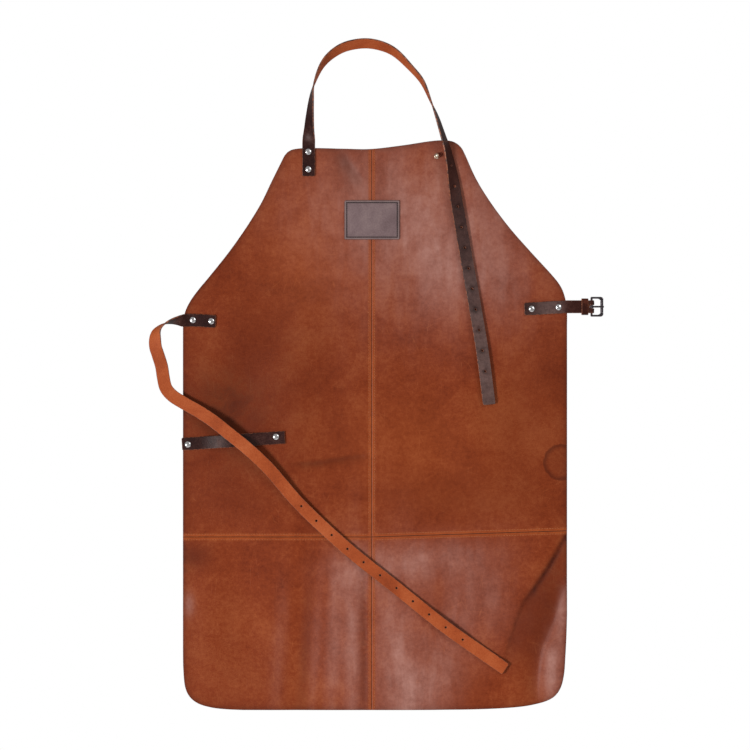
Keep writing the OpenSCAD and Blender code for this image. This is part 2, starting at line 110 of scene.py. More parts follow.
# Paths: x, y, z and roll. The neck strap's z is over the bib's top, the waist strap's over the hem
NECK_PATH = [
    (NECK_X, STRAP_Y, -44.5, 0), (NECK_X, STRAP_Y, -20, 0), (NECK_X, STRAP_Y, -2, 0),
    (NECK_X, STRAP_Y, 8, 3), (NECK_X + 0.6, -6.9, 25, 36), (NECK_X + 1.8, -9.1, 47, 53),
    (NECK_X + 4.3, -10.5, 75, 70), (-95.5, -10.8, 97, 88), (-84.4, -10.3, 125, 104),
    (-69.2, -9.6, 143.5, 118), (-46.9, -9.1, 157, 127), (-17.2, -8.9, 162.5, 130),
    (9.4, -8.9, 158.6, 127), (32, -9.4, 147.5, 119), (55.5, -10, 124.5, 109), (74, -10.6, 102, 103),
    (87, -11.2, 72, 90), (96.5, -11.8, 48, 76), (107.2, -12.2, 14.5, 66), (112.6, -12.5, -2, 59),
    (115.2, -12, -14, 53), (117.9, -11.6, -26.4, 47), (123.3, -9.1, -57.5, 28),
    (128.4, -7.4, -90.5, 16), (139.7, -6.3, -155.3, 10), (156.7, -6, -252, 8), (167.2, -6, -315.5, 8),
    (176.6, -6, -387, 8), (178.2, -6, -401, 8),
]
NECK_FIRST_PUNCH = 27
NECK_PUNCH_PITCH = 32.5
WAIST_PATH = [
    (-248.4, STRAP_Y, 607, 0), (-264, STRAP_Y, 607.9, 0), (-281, STRAP_Y, 608.8, 0),
    (-290.5, STRAP_Y, 609.1, 0), (-297, -6, 608.6, 14), (-301, -7.7, 608.3, 27),
    (-307.3, -8.8, 608.2, 50), (-316.4, -10.2, 607.1, 71), (-326.9, -11.6, 603.7, 92),
    (-335.5, -12.5, 597.5, 110), (-341, -13, 588.5, 138), (-342.5, -13.2, 577, 162),
    (-341.5, -13.2, 566, 170), (-338.3, -12.8, 556, 174), (-332.5, -12.2, 537, 178),
    (-329.7, -11.6, 519, 180), (-325.6, -10.9, 502.8, 180), (-315, -10.3, 490.6, 180),
    (-298.4, -9.8, 480, 180), (-274.2, -11.2, 466.2, 180), (-251, -14, 451, 180),
    (-229, -16.2, 433.6, 180), (-197, -16.2, 407.6, 180), (-163.6, -12, 375.3, 180),
    (-114.2, -7.6, 318.3, 180), (-42.3, -6, 251.6, 180), (35.3, -6, 189.7, 180),
    (110.8, -6, 129.5, 180), (190, -6, 74, 180), (203.8, -6, 64.5, 180),
]
WAIST_FIRST_PUNCH = 348
WAIST_PUNCH_PITCH = 32.7
TOOL_LOOP_LEFT = (-301.5, 415.4)
TOOL_LOOP_RIGHT = (-140.6, 426.2)
TOOL_LOOP_SLACK = 8

# Metal
RIVETS = {
    "neck": [(NECK_X - 0.5, BIB_H - 6.1), (NECK_X - 0.5, BIB_H - 33.4)],
    "waist": [(-284.4, 609.2), (-255.5, 607.4)],
    "tool_loop": [(-292.2, 415), (-154.7, 427)],
    "buckle": [(244.5, 626.8), (286.4, 629.2)],
}
STUD = (96.9, BIB_H - 12.4)
BUCKLE_Z = 630
BUCKLE_STRAP_SLOPE = 0.0573
BAR_X = BODY_W / 2 + 38.2
BAR_Y = -HIDE_T + 0.025
BAR_R = 1.7
FOLD_R = 3.05
# The slot for the prong in the strap's fold: half length and half width
PRONG_SLOT = (8.5, 2.7)
KEEPER_W = 10.5
KEEPER_T = 1.8
OUTER_BAR_X = BAR_X + 16
OUTER_BAR_R = 1.3
BUCKLE_H = 31
ARM_H = 3
ARM_T = 2.8
ROLLER_ROOM = 9.8
FRAME_CORNER_R = 4.4

# Label
LABEL = (-4.7, BIB_H - 112.4)
LABEL_W = 86
LABEL_H = 61
LABEL_T = 1.6
LABEL_INSET = 3.5
LABEL_PITCH = 3.1
LABEL_STITCH_L = 2.6
LABEL_THREAD_T = 1.0
LABEL_Y = -HIDE_T - 0.35 - LABEL_T / 2


# ---------------- outlines and curves

def columns(*parts):
    return np.stack(parts, axis=1)


def unit(rows):
    """Each row at length 1."""
    return rows / np.linalg.norm(rows, axis=1)[:, None]


def left_of(run):
    """Each direction in a plane turned a quarter to its left."""
    return columns(-run[:, 1], run[:, 0])


def arc(x, y, r, *degrees):
    """Points of a circle about (x, y), at the angles of np.arange(*degrees)."""
    turn = np.radians(np.arange(*degrees))
    return columns(x + r * np.cos(turn), y + r * np.sin(turn))


def curve(points, steps):
    """Points on the smooth curve through the control points, steps of them to each span."""
    p = np.array(points, float)
    ends = np.vstack([p[:1], p, p[-1:]])
    f = np.arange(steps)[:, None] / steps
    spans = [b + ((c - a) * f + (2 * a - 5 * b + 4 * c - d) * f**2 + (3 * b - a - 3 * c + d) * f**3) / 2
             for a, b, c, d in zip(ends, ends[1:], ends[2:], ends[3:])]
    return np.vstack(spans + [p[-1:]])


def dense(loop, step):
    """A closed loop with no edge longer than step."""
    points = []
    for a, b in zip(loop, np.roll(loop, -1, axis=0)):
        count = max(1, math.ceil(np.linalg.norm(b - a) / step))
        points += [a + (b - a) * k / count for k in range(count)]
    return np.array(points)


def walked(line):
    """How far along the line each of its points lies."""
    return np.concatenate([[0], np.cumsum(np.linalg.norm(np.diff(line, axis=0), axis=1))])


def read_off(s, walk, rows):
    """The rows that belong to the distances walk, read at the distances s."""
    return columns(*(np.interp(s, walk, part) for part in rows.T))


def clipped(loop, distance):
    """The part of a closed loop where distance(point) is positive."""
    points = []
    for a, b in zip(loop, np.roll(loop, -1, axis=0)):
        da, db = distance(a), distance(b)
        if da >= 0:
            points.append(a)
        if (da > 0 > db) or (db > 0 > da):
            points.append(a + (b - a) * da / (da - db))
    return np.array(points)


def moved_in(loop, inset):
    """A closed loop moved to its left side by inset."""
    return loop + inset * left_of(unit(np.roll(loop, -1, axis=0) - np.roll(loop, 1, axis=0)))


def inside(points, loops):
    """Whether each point lies within the loops, holes left out."""
    odd = np.zeros(len(points), bool)
    x, y = points.T
    for loop in loops:
        for (ax, ay), (bx, by) in zip(loop, np.roll(loop, -1, axis=0)):
            if ay != by:
                crosses = ((ay > y) != (by > y)) & (x < (bx - ax) * (y - ay) / (by - ay) + ax)
                odd ^= crosses
    return odd


def clearance(points, loops):
    """Distance of each point from the nearest point of the loops."""
    edge = np.vstack(loops)
    nearest = np.full(len(points), 1e9)
    for start in range(0, len(points), 2000):
        part = points[start:start + 2000]
        gaps = np.linalg.norm(part[:, None] - edge[None], axis=2)
        nearest[start:start + 2000] = gaps.min(axis=1)
    return nearest


def hex_points(loops, step):
    """Points at the corners of even triangles, over the first loop's box."""
    low, high = loops[0].min(axis=0), loops[0].max(axis=0)
    rows = []
    for k, z in enumerate(np.arange(low[1] + step / 2, high[1], step * TRIANGLE_H)):
        x = np.arange(low[0] + step / 2 * (1 + k % 2), high[0], step)
        rows.append(columns(x, np.full(len(x), z)))
    return np.vstack(rows)


# ---------------- sheets of leather

def in_scene(name, data):
    obj = bpy.data.objects.new(name, data)
    bpy.context.scene.collection.objects.link(obj)
    return obj


def new_object(name, vertices, faces, materials, slots=None, uv=None):
    mesh = bpy.data.meshes.new(name)
    mesh.from_pydata([tuple(v) for v in np.array(vertices) * MM], [], faces)
    for material in materials:
        mesh.materials.append(material)
    if slots is not None:
        mesh.polygons.foreach_set("material_index", slots)
    if uv is not None:
        layer = mesh.uv_layers.new(name="UVMap")
        corners = np.empty(len(mesh.loops), np.int32)
        mesh.loops.foreach_get("vertex_index", corners)
        layer.data.foreach_set("uv", (np.array(uv)[corners] * MM).astype(np.float32).ravel())
    mesh.polygons.foreach_set("use_smooth", np.ones(len(mesh.polygons), bool))
    mesh.update()
    return in_scene(name, mesh)


def face_points(loops, face_loops, step, extra):
    """Points of a face: its loops, an even field, a row near the outline and the extra ones."""
    parts = [hex_points(loops, step), moved_in(loops[0], RIM_ROW)]
    room = [0.75 * step, ROW_ROOM]
    if extra is not None:
        parts.append(extra)
        room = [0.5 * step, ROW_ROOM, ROW_ROOM]
    parts = [points[inside(points, face_loops)] for points in parts]
    if extra is not None:
        parts[0] = parts[0][clearance(parts[0], [parts[2]]) >= 0.45 * step]
        parts[1] = parts[1][clearance(parts[1], [parts[2]]) > 0.8]
    parts = [points[clearance(points, face_loops) > gap] for points, gap in zip(parts, room)]
    return np.vstack(face_loops + parts)


def face_triangles(points, face_loops):
    """Anticlockwise triangles between the points, which begin with those of the loops."""
    edges, start = [], 0
    for loop in face_loops:
        ids = np.arange(start, start + len(loop))
        edges += list(zip(ids.tolist(), np.roll(ids, -1).tolist()))
        start += len(loop)
    found = delaunay_2d_cdt([Vector(p) for p in points], edges, [], 0, 1e-4)
    source = [ids[0] for ids in found[3]]
    triangles = np.array([[source[i] for i in face] for face in found[2]])
    triangles = triangles[inside(points[triangles].mean(axis=1), face_loops)]
    corners = points[triangles]
    first, second = corners[:, 1] - corners[:, 0], corners[:, 2] - corners[:, 0]
    turned_over = first[:, 0] * second[:, 1] - first[:, 1] * second[:, 0] < 0
    triangles[turned_over] = triangles[turned_over][:, ::-1]
    return triangles


def leather_piece(name, loops, place, thickness, materials, step=5, extra=None, rounding=0.5):
    """A sheet cut to loops, the outline anticlockwise and holes clockwise, and put in place.

    place(uv, h) gives the points at height h above the sheet's middle, and materials are those of the
    face, the back and the cut edge.
    """
    half = thickness / 2
    face_loops = [moved_in(loop, rounding) for loop in loops]
    flat = face_points(loops, face_loops, step, extra)
    triangles = face_triangles(flat, face_loops)
    count = len(flat)
    vertices = [place(flat, half), place(flat, -half)]
    uv = [flat, flat]
    faces = triangles.tolist() + (triangles[:, ::-1] + count).tolist()
    slots = [0] * len(triangles) + [1] * len(triangles)
    cut_edge = [(0.3 * rounding, half - 0.3 * rounding), (0, half - rounding), (0, rounding - half),
                (0.3 * rounding, 0.3 * rounding - half)]
    base, start = 2 * count, 0
    for loop in loops:
        size = len(loop)
        rings = [np.arange(start, start + size)]
        for inset, height in cut_edge:
            ring = moved_in(loop, inset)
            vertices.append(place(ring, height))
            uv.append(ring)
            rings.append(np.arange(base, base + size))
            base += size
        rings.append(np.arange(start, start + size) + count)
        for upper, lower in zip(rings, rings[1:]):
            faces += columns(upper, lower, np.roll(lower, -1), np.roll(upper, -1)).tolist()
            slots += [2] * size
        start += size
    return new_object(name, np.vstack(vertices), faces, materials, slots, np.vstack(uv))


# ---------------- the hang of the apron

def seam_z(x):
    return CROSS_SEAM_H + np.maximum(0, x - CENTRE_SEAM_X) / (BODY_W / 2) * CROSS_SEAM_RISE


def soft_step(t):
    t = np.clip(t, 0, 1)
    return t * t * (3 - 2 * t)


# Folds: x, z, half width, half height, lean, and depth, positive away from the viewer
FOLDS = [
    (-118, 118, 24, 130, 3, 3.2),
    (-62, 110, 30, 120, 0, -1.0),
    (-205, 130, 40, 120, -4, 2.2),
    (-262, 150, 22, 90, 2, -0.8),
    (48, 120, 34, 110, 0, -1.0),
    (112, 90, 32, 120, 4, 2.6),
    (176, 140, 26, 90, 8, -0.9),
    (222, 170, 14, 90, 28, -1.1),
    (276, 70, 14, 50, 8, -1.0),
    (-200, 520, 40, 120, 28, 2.4),
    (-120, 500, 34, 110, 20, -0.9),
    (-60, 640, 34, 160, 6, 2.0),
    (80, 560, 38, 150, -10, 1.8),
    (150, 420, 40, 120, -14, -0.9),
    (215, 470, 36, 130, -18, 2.4),
    (240, 380, 30, 90, 10, -0.8),
    (60, 700, 38, 110, -20, 1.6),
    (30, 850, 18, 60, -70, 1.2),
    (-60, 800, 18, 60, 10, 1.8),
    (-150, 730, 30, 90, 34, 1.6),
    (180, 740, 30, 80, -40, 1.4),
]
# Creases: x and z along the line, depth, softness to its left and right, and how dark the painted shade
# along it is
CREASES = [
    ([(299, 272), (277, 232), (258, 200), (234, 164), (214, 109), (205, 76)], 4.2, 26, 5, 0.4),
    ([(300, 279), (284, 246), (262, 208), (238, 172)], 1.2, 5, 3, 0.7),
    ([(299, 200), (291, 182), (277, 137), (259, 94), (252, 45), (254, 12)], 3.0, 5, 20, 0.4),
    ([(-130, 384), (-90, 387), (-45, 394), (-12, 399)], 2.2, 4, 8, 0.5),
    ([(-17, 240), (-16, 150), (-15, 60), (-16, 6)], 1.5, 4, 9, 0.55),
    ([(-56, 874), (-40, 850), (-18, 816)], 2.2, 7, 16, 0.8),
]
HELD = sum(RIVETS.values(), [STUD])


def crease_share(x, z, line, left, right):
    """1 on a crease's line, falling to 0 away from it and towards its ends."""
    path = curve(line, 12)
    run = np.gradient(path, axis=0)
    away = columns(x, z)[:, None] - path[None]
    gaps = np.linalg.norm(away, axis=2)
    nearest = gaps.argmin(axis=1)
    rows = np.arange(len(x))
    offset, heading = away[rows, nearest], run[nearest]
    to_left = heading[:, 0] * offset[:, 1] - heading[:, 1] * offset[:, 0] > 0
    fade = np.sin(math.pi * np.clip(nearest / (len(path) - 1), 0.04, 0.96)) ** 0.5
    return fade * np.exp(-(gaps[rows, nearest] / np.where(to_left, left, right)) ** 2)


def oval_share(x, z, cx, cz, half_w, half_h, lean):
    """1 at the middle of an oval that leans from upright by degrees, falling to 0 away from it."""
    a = math.radians(lean)
    across = (x - cx) * math.cos(a) - (z - cz) * math.sin(a)
    along = (x - cx) * math.sin(a) + (z - cz) * math.cos(a)
    return np.exp(-(across / half_w) ** 2 - (along / half_h) ** 2)


def wave(x, z):
    """How far the hanging leather lies behind its flat shape."""
    depth = np.zeros_like(x)
    for line, crease_depth, left, right, _ in CREASES:
        depth += crease_depth * crease_share(x, z, line, left, right)
    for *oval, fold_depth in FOLDS:
        depth += fold_depth * oval_share(x, z, *oval)
    depth += 0.5 * np.sin(x / 31 + 1.3 * np.sin(z / 47)) * np.sin(z / 38 + x / 90)
    for hx, hz in HELD:
        depth *= soft_step((np.hypot(x - hx, z - hz) - 16) / 34)
    return np.clip(depth, -1.15, 7)


def seam_distance(x, z):
    return np.minimum(np.abs(x - CENTRE_SEAM_X), np.abs(z - seam_z(x)))


def sink(x, z):
    """How far the face is pulled in at the seams and their stitch rows."""
    d = seam_distance(x, z)
    row = 0.3 * np.exp(-((d - TOPSTITCH_GAP) / 0.8) ** 2)
    pillow = -0.22 * np.exp(-((d - 2.4) / 1.0) ** 2) - 0.12 * np.exp(-((d - 7) / 1.6) ** 2)
    fold = 0.45 * np.exp(-(d / 0.9) ** 2)
    return row + pillow + fold


def on_apron(uv, h):
    x, z = uv.T
    y = wave(x, z) - HIDE_T / 2 - h
    if h > 0:
        y = y + sink(x, z)
    return columns(x, y, z)


def behind_apron(uv, h):
    x, z = uv.T
    return columns(x, wave(x, z) + 0.1 + ALLOWANCE_T / 2 - h, z)


def apron_outline():
    half, bib_half = BODY_W / 2, BIB_W / 2
    lines = [[(x - half, z) for x, z in LEFT_CORNER],
             [(half - x, z) for x, z in RIGHT_CORNER],
             [(x * bib_half, BIB_H + z) for x, z in TOP_EDGE]]
    for armhole, side in ((LEFT_ARMHOLE, -1), (RIGHT_ARMHOLE, 1)):
        lines.append([(side * (bib_half + x * (half - bib_half)), SIDE_H + z * (SHOULDER_H - SIDE_H))
                      for x, z in armhole])
    left_hem, right_hem, top, left_side, right_side = [curve(line, 8) for line in lines]
    return np.vstack([left_hem, right_hem[::-1], right_side[:0:-1], top[:0:-1], left_side])


OUTLINE = apron_outline()


def quarter_outline(side, up):
    loop = clipped(OUTLINE, lambda p: side * (p[0] - CENTRE_SEAM_X))
    return clipped(loop, lambda p: up * (p[1] - seam_z(p[0])))


def seam_rows(side, up):
    """Rows of points beside the two seams of one panel."""
    rows = []
    for d in (0.95, 1.7, 2.6, 3.6, 4.4, 5.2, 6.6, 9):
        z = np.arange(seam_z(0.0) + up * (d + 0.5), BIB_H + 15 if up > 0 else 1, up * 2.4)
        rows.append(columns(np.full(len(z), CENTRE_SEAM_X + side * d), z))
        x = np.arange(CENTRE_SEAM_X + side * (d + 2), side * (BODY_W / 2 - 1), side * 2.4)
        rows.append(columns(x, seam_z(x) + up * d))
    return np.vstack(rows)


def fine_rows(side, up):
    """The seam rows of a panel and rows along its creases."""
    rows = seam_rows(side, up)
    for line, *_ in CREASES:
        path = curve(line, 10)
        across = left_of(unit(np.gradient(path, axis=0)))
        for d in (-8, -5.5, -3.5, -1.7, 0, 1.7, 3.5, 5.5, 8):
            row = path + d * across
            rows = np.vstack([rows, row[clearance(row, [rows]) > 1.5]])
    return rows


def allowance_outline(side, up):
    near, far = 0.02, ALLOWANCE_W
    z_end = BIB_H - ALLOWANCE_TRIM - 1.5 if up > 0 else ALLOWANCE_TRIM
    x_end = side * (BODY_W / 2 - ALLOWANCE_TRIM)
    x_near, x_far = CENTRE_SEAM_X + side * near, CENTRE_SEAM_X + side * far
    loop = np.array([
        (x_near, seam_z(x_near) + up * near), (x_end, seam_z(x_end) + up * near),
        (x_end, seam_z(x_end) + up * far), (x_far, seam_z(x_far) + up * far),
        (x_far, z_end), (x_near, z_end)])
    return loop if side * up > 0 else loop[::-1]


# ---------------- straps

class Ribbon:
    """A strap's centre line with its directions along and across it."""

    def __init__(self, centre, across):
        self.centre = centre
        self.s = walked(centre)
        self.along = unit(np.gradient(centre, self.s, axis=0))
        self.across = unit(across - self.along * np.sum(across * self.along, axis=1)[:, None])
        self.length = self.s[-1]

    def place(self, uv, h):
        s, t = uv.T
        centre, along, across = [read_off(s, self.s, rows)
                                 for rows in (self.centre, self.along, self.across)]
        return centre + across * t[:, None] + np.cross(along, across) * h

    def nearest(self, point):
        gaps = np.linalg.norm(self.centre - np.array(point), axis=1)
        return self.s[gaps.argmin()]


def rolled_ribbon(path):
    """Roll 0 shows the grain side to the viewer, 90 an edge and 180 the flesh side."""
    points = curve(path, 20)
    centre, roll = points[:, :3], np.radians(points[:, 3:])
    along = np.gradient(centre, axis=0)
    side = unit(columns(-along[:, 2], np.zeros(len(along)), along[:, 0]))
    return Ribbon(centre, side * np.cos(roll) + np.array([[0, 1, 0]]) * np.sin(roll))


def strap_loops(s_from, s_to, width=STRAP_W, tip_l=0, corner=0, punches=(), slot=None):
    """Outline of a strap between two distances along it, with a rounded tip and its holes."""
    half = width / 2
    loop = [(s_from + corner, -half), (s_to - tip_l, -half)]
    if tip_l:
        turn = np.radians(np.arange(15, 91, 15))
        tip = [(s_to - tip_l + tip_l * math.sin(a), half - TIP_CUT + TIP_CUT * math.cos(a)) for a in turn]
        loop += [(s, -t) for s, t in tip] + tip[::-1]
    loop.append((s_to - tip_l, half))
    if corner:
        loop += [(s_from + corner, half), (s_from, half - corner), (s_from, corner - half)]
    else:
        loop.append((s_from, half))
    loops = [dense(np.array(loop, float), 2.5)]
    loops += [arc(s, 0, PUNCH_R, 0, -360, -18) for s in punches]
    if slot:
        middle, half_l, half_w = slot
        turn = np.linspace(math.pi / 2, -math.pi / 2, 8)
        end = columns(half_l - half_w + half_w * np.cos(turn), half_w * np.sin(turn))
        loops.append(dense(np.vstack([end, -end]) + (middle, 0), 2))
    return loops


# ---------------- materials

def linear(r, g, b):
    """An sRGB colour of 0 to 255 as a linear one."""
    parts = [c / 255 for c in (r, g, b)]
    return tuple(c / 12.92 if c <= 0.04045 else ((c + 0.055) / 1.055) ** 2.4 for c in parts) + (1,)


class Nodes:
    """A node tree and short ways to add to it. Colours are sRGB, 0 to 255."""

    def __init__(self, tree):
        self.tree = tree

    def add(self, kind, inputs, **settings):
        node = self.tree.nodes.new(kind)
        for key, value in settings.items():
            setattr(node, key, value)
        for key, value in inputs.items():
            self.put(node.inputs[key], value)
        return node

    def put(self, socket, value):
        if isinstance(value, bpy.types.NodeSocket):
            self.tree.links.new(value, socket)
        elif socket.type == "RGBA":
            socket.default_value = linear(*value)
        else:
            socket.default_value = value

    def sum(self, *parts):
        """The sum of value and weight pairs."""
        total = 0.0
        for value, weight in parts:
            total = self.add("ShaderNodeMath", {0: value, 1: weight, 2: total},
                             operation="MULTIPLY_ADD").outputs[0]
        return total


class Look(Nodes):
    """A material of one surface, patterned over its UV map, which is in metres."""

    def __init__(self, name):
        self.material = bpy.data.materials.new(name)
        self.material.use_nodes = True
        super().__init__(self.material.node_tree)
        self.surface = self.tree.nodes["Principled BSDF"]
        self.uv = self.add("ShaderNodeUVMap", {}).outputs["UV"]

    def set(self, **inputs):
        for key, value in inputs.items():
            self.put(self.surface.inputs[key.replace("_", " ")], value)

    def stretched(self, x, y, turn=0):
        return self.add("ShaderNodeMapping", {"Vector": self.uv, "Scale": (x, y, 1),
                                              "Rotation": (0, 0, math.radians(turn))}).outputs[0]

    def noise(self, scale, detail=3, roughness=0.55, distortion=0, where=None):
        return self.add("ShaderNodeTexNoise", {
            "Vector": where or self.uv, "Scale": scale, "Detail": detail,
            "Roughness": roughness, "Distortion": distortion}).outputs["Fac"]

    def cells(self, scale, feature, where=None):
        return self.add("ShaderNodeTexVoronoi", {"Vector": where or self.uv, "Scale": scale},
                        feature=feature).outputs["Distance"]

    def range(self, value, low, high, to_low=0.0, to_high=1.0):
        return self.add("ShaderNodeMapRange", {
            "Value": value, "From Min": low, "From Max": high, "To Min": to_low, "To Max": to_high},
            interpolation_type="SMOOTHSTEP").outputs[0]

    def times(self, a, b):
        return self.add("ShaderNodeMath", {0: a, 1: b}, operation="MULTIPLY").outputs[0]

    def mix(self, share, a, b):
        return self.add("ShaderNodeMix", {0: share, 6: a, 7: b}, data_type="RGBA").outputs[2]

    def ramp(self, share, *colours):
        node = self.add("ShaderNodeValToRGB", {"Fac": share})
        elements = node.color_ramp.elements
        elements[0].position, elements[1].position = colours[0][0], colours[-1][0]
        for position, _ in colours[1:-1]:
            elements.new(position)
        for element, (_, colour) in zip(elements, colours):
            element.color = linear(*colour)
        return node.outputs[0]

    def attribute(self, name):
        return self.add("ShaderNodeSeparateColor", {
            "Color": self.add("ShaderNodeAttribute", {}, attribute_name=name).outputs["Color"]}).outputs

    def bump(self, height, distance, strength=1.0):
        return self.add("ShaderNodeBump", {"Height": height, "Distance": distance * MM,
                                           "Strength": strength}).outputs[0]


def grain_look(name, dark, mid, light, tones=None, roughness=0.45, shine=0.3, clouds=7):
    """Waxed grain leather: clouds of colour, pores, thin scratches and a soft shine.

    tones are the deep, warm and sheen colours that the "tone" attribute brings in; the deep colour serves
    both darker leather and painted shade, and the sheen colour is painted sheen, a painted reflection of
    the lamps.
    """
    look = Look(name)
    cloud = look.noise(clouds, 6, 0.62, 0.6)
    blotch = look.noise(clouds * 5.5, 5, 0.6, 0.3)
    speck = look.noise(clouds * 24, 5, 0.7)
    fine = look.noise(620, 3, 0.6)
    tone = look.sum((cloud, 0.42), (blotch, 0.14), (speck, 0.27), (fine, 0.17))
    colour = look.ramp(tone, (0.37, dark), (0.5, mid), (0.63, light))
    lines = [look.range(look.cells(1.0, "DISTANCE_TO_EDGE", look.stretched(*stretch)), 0, 0.014, 1, 0)
             for stretch in ((34, 9, 38), (9, 30, -14), (26, 8, 80))]
    broken = look.range(look.noise(34, 4, 0.6), 0.5, 0.68)
    scratch = look.times(look.sum(*[(line, 0.6) for line in lines]), broken)
    colour = look.mix(look.times(scratch, 0.75), colour, light)
    if tones:
        # Tone channels: painted sheen, laid in streaks; deep colour, partly painted shade; warm colour.
        painted_sheen, deep, warm = look.attribute("tone")[:3]
        ragged = look.range(look.sum((blotch, 0.6), (speck, 0.4)), 0.3, 0.7, 0.6, 1.15)
        streak = look.range(look.noise(1.0, 4, 0.6, 0.4, look.stretched(30, 7, 3)), 0.3, 0.7, 0.6, 1.2)
        colour = look.mix(look.times(deep, ragged), colour, tones[0])
        colour = look.mix(look.times(warm, ragged), colour, tones[1])
        colour = look.mix(look.times(look.times(painted_sheen, ragged), streak), colour, tones[2])
        colour = look.mix(look.times(round_mark(look), 0.6), colour, tones[0])
    grain = look.cells(720, "SMOOTH_F1")
    creases = look.range(look.cells(150, "DISTANCE_TO_EDGE"), 0.0, 0.12)
    height = look.sum((grain, 0.5), (fine, 0.35), (creases, 0.3), (scratch, -0.8), (blotch, 0.8))
    look.set(Base_Color=colour, Normal=look.bump(height, 0.16, 0.8),
             Roughness=look.sum((fine, 0.16), (blotch, 0.18), (roughness - 0.17, 1.0)),
             Specular_IOR_Level=shine)
    return look.material


def round_mark(look):
    """A ring and its faint disc near the right edge, left by something round."""
    away = look.add("ShaderNodeVectorMath", {0: look.uv, 1: (MARK[0] * MM, MARK[1] * MM, 0)},
                    operation="DISTANCE").outputs["Value"]
    ragged = look.sum((look.noise(90, 4), 6 * MM), (away, 1.0))
    disc = look.range(ragged, MARK_R * MM, MARK_OUTER_R * MM, 1.0, 0.0)
    hollow = look.range(ragged, MARK_INNER_R * MM, MARK_R * MM, 0.25, 1.0)
    return look.times(disc, hollow)


def flesh_look(name, dark, mid, light, roughness=0.8):
    """The rough inner side: short fibres and soft clouds."""
    look = Look(name)
    cloud = look.noise(16, 5, 0.6, 0.4)
    fibre = look.noise(1.0, 3, 0.65, 1.2, look.stretched(420, 900, 8))
    nap = look.noise(900, 3, 0.7)
    tone = look.sum((cloud, 0.45), (fibre, 0.35), (nap, 0.2))
    colour = look.ramp(tone, (0.33, dark), (0.5, mid), (0.66, light))
    height = look.sum((fibre, 0.6), (nap, 0.5), (cloud, 0.4))
    look.set(Base_Color=colour, Normal=look.bump(height, 0.3, 0.8), Roughness=roughness,
             Specular_IOR_Level=0.15)
    return look.material


def edge_look(name, dark, light):
    """A burnished cut edge with the fibre layers just showing."""
    look = Look(name)
    layers = look.noise(260, 4, 0.6)
    look.set(Base_Color=look.mix(look.range(layers, 0.35, 0.7), dark, light), Roughness=0.5,
             Normal=look.bump(layers, 0.2, 0.6))
    return look.material


def thread_look(name, colour, deep):
    """Waxed thread with its twist."""
    look = Look(name)
    twist = look.add("ShaderNodeTexWave", {"Vector": look.uv, "Scale": 420, "Distortion": 0.5},
                     bands_direction="DIAGONAL").outputs["Fac"]
    look.set(Base_Color=look.mix(twist, deep, colour), Roughness=0.55, Normal=look.bump(twist, 0.08))
    return look.material


def metal_look(name, colour, dull, roughness):
    """Polished metal with fine scratches and smudges."""
    look = Look(name)
    room = look.add("ShaderNodeTexCoord", {}).outputs["Object"]
    smudge = look.noise(260, 4, 0.6, 0, room)
    fine = look.noise(2600, 2, 0.5, 0, room)
    worn = look.range(smudge, 0.35, 0.7)
    look.set(Metallic=1.0, Base_Color=look.mix(look.times(worn, 0.5), colour, dull),
             Roughness=look.sum((smudge, 0.25), (fine, 0.12), (roughness - 0.18, 1.0)),
             Normal=look.bump(fine, 0.02, 0.5))
    return look.material


# The last colour in each tones list is painted sheen, and the first, the deep colour, also serves as
# painted shade.
APRON_GRAIN = grain_look("apron_grain", (96, 32, 9), (125, 51, 21), (150, 76, 40),
                         [(66, 21, 9), (164, 80, 36), (174, 128, 117)], shine=0.11)
APRON_FLESH = flesh_look("apron_flesh", (118, 72, 46), (146, 96, 66), (170, 124, 92))
APRON_EDGE = edge_look("apron_edge", (40, 17, 11), (84, 42, 26))
# On the straps the deep colour paints shade round the punched holes, and the last colour is a painted
# sheen.
STRAP_GRAIN = grain_look("strap_grain", (26, 10, 9), (45, 21, 18), (76, 48, 42),
                         [(8, 3, 3), (84, 40, 26), (150, 122, 116)],
                         roughness=0.42, shine=0.12, clouds=26)
KEEPER_GRAIN = grain_look("keeper_grain", (30, 10, 6), (52, 20, 12), (88, 42, 28),
                          roughness=0.42, shine=0.12, clouds=40)
KEEPER_EDGE = edge_look("keeper_edge", (110, 54, 28), (176, 104, 64))
STRAP_FLESH = flesh_look("strap_flesh", (112, 42, 14), (156, 70, 30), (180, 96, 54), 0.62)
STRAP_EDGE = edge_look("strap_edge", (62, 28, 16), (156, 86, 52))
# On the label the last tone colour is a painted highlight on the rim.
LABEL_GRAIN = grain_look("label_grain", (96, 77, 78), (116, 96, 97), (134, 114, 112),
                         [(24, 12, 14), (120, 84, 70), (150, 128, 122)],
                         roughness=0.5, shine=0.15, clouds=16)
LABEL_EDGE = edge_look("label_edge", (52, 36, 38), (84, 64, 64))
SEAM_THREAD = thread_look("seam_thread_wax", (196, 112, 62), (140, 72, 34))
LABEL_THREAD = thread_look("label_thread_wax", (30, 18, 22), (12, 6, 8))
STEEL = metal_look("rivet_polish", (232, 230, 230), (140, 136, 134), 0.17)
BRASS = metal_look("stud_polish", (236, 226, 204), (176, 158, 130), 0.3)
GUNMETAL = metal_look("buckle_finish", (96, 88, 92), (46, 40, 44), 0.2)
STRAP_LOOKS = [STRAP_GRAIN, STRAP_FLESH, STRAP_EDGE]
